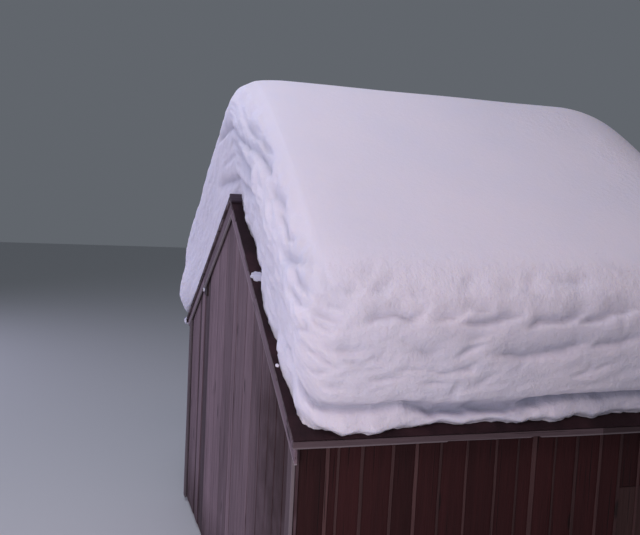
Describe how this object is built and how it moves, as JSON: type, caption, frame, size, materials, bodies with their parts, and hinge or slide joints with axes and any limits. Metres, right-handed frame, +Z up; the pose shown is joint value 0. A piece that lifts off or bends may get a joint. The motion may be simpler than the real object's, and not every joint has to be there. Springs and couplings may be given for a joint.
{
  "type": "wooden hut under snow",
  "caption": "Small gabled hut of weathered boards on a timber frame, with barge boards, a felted board roof and a deep snow blanket lying on it.",
  "frame": {"origin": "on the ground under the middle of the hut", "axes": "+Z up; Y along the ridge, with the front gable at -Y; X across, with the dark side wall that shows in the picture at +X"},
  "size_m": [4.4957, 3.7902, 4.1034],
  "materials": {
    "gable_wood": "bare, weathered grey-brown",
    "side_wood": "bare, dark and damp",
    "trim_wood": "bare, silver grey and split",
    "ridge_wood": "bare, brown",
    "frame_wood": "sawn, dry",
    "covering": "tarred felt, rough",
    "snow": "settled snow, matt"
  },
  "bodies": {
    "root": {"sill_right": "frame_wood", "sill_left": "frame_wood", "sill_front": "frame_wood", "sill_back": "frame_wood", "wall_plate_right": "frame_wood", "wall_plate_left": "frame_wood", "purlin_right": "frame_wood", "purlin_left": "frame_wood", "ridge_beam": "frame_wood", "tie_beam_front": "frame_wood", "tie_beam_back": "frame_wood", "gable_post_front_middle": "frame_wood", "gable_post_front_right": "frame_wood", "gable_post_front_left": "frame_wood", "gable_post_back_middle": "frame_wood", "gable_post_back_right": "frame_wood", "gable_post_back_left": "frame_wood", "corner_post_front_right": "frame_wood", "corner_post_front_left": "frame_wood", "corner_post_back_right": "frame_wood", "corner_post_back_left": "frame_wood", "side_wall_right": "side_wood", "side_wall_left": "side_wood", "gable_wall_front": "gable_wood", "gable_wall_back": "gable_wood", "corner_board_front_right": "trim_wood", "corner_board_front_left": "trim_wood", "corner_board_back_right": "trim_wood", "corner_board_back_left": "trim_wood", "roof_covering_right": "covering", "roof_covering_left": "covering", "roof_boards_right": "trim_wood", "roof_boards_left": "trim_wood", "eave_board_right": "trim_wood", "eave_board_left": "trim_wood", "ridge_board": "ridge_wood", "barge_board_front_right_upper": "trim_wood", "barge_board_front_right_lower": "trim_wood", "barge_board_front_left_upper": "trim_wood", "barge_board_front_left_lower": "trim_wood", "barge_board_back_right_upper": "trim_wood", "barge_board_back_right_lower": "trim_wood", "barge_board_back_left_upper": "trim_wood", "barge_board_back_left_lower": "trim_wood", "roof_snow": "snow"}
  },
  "joints": []
}
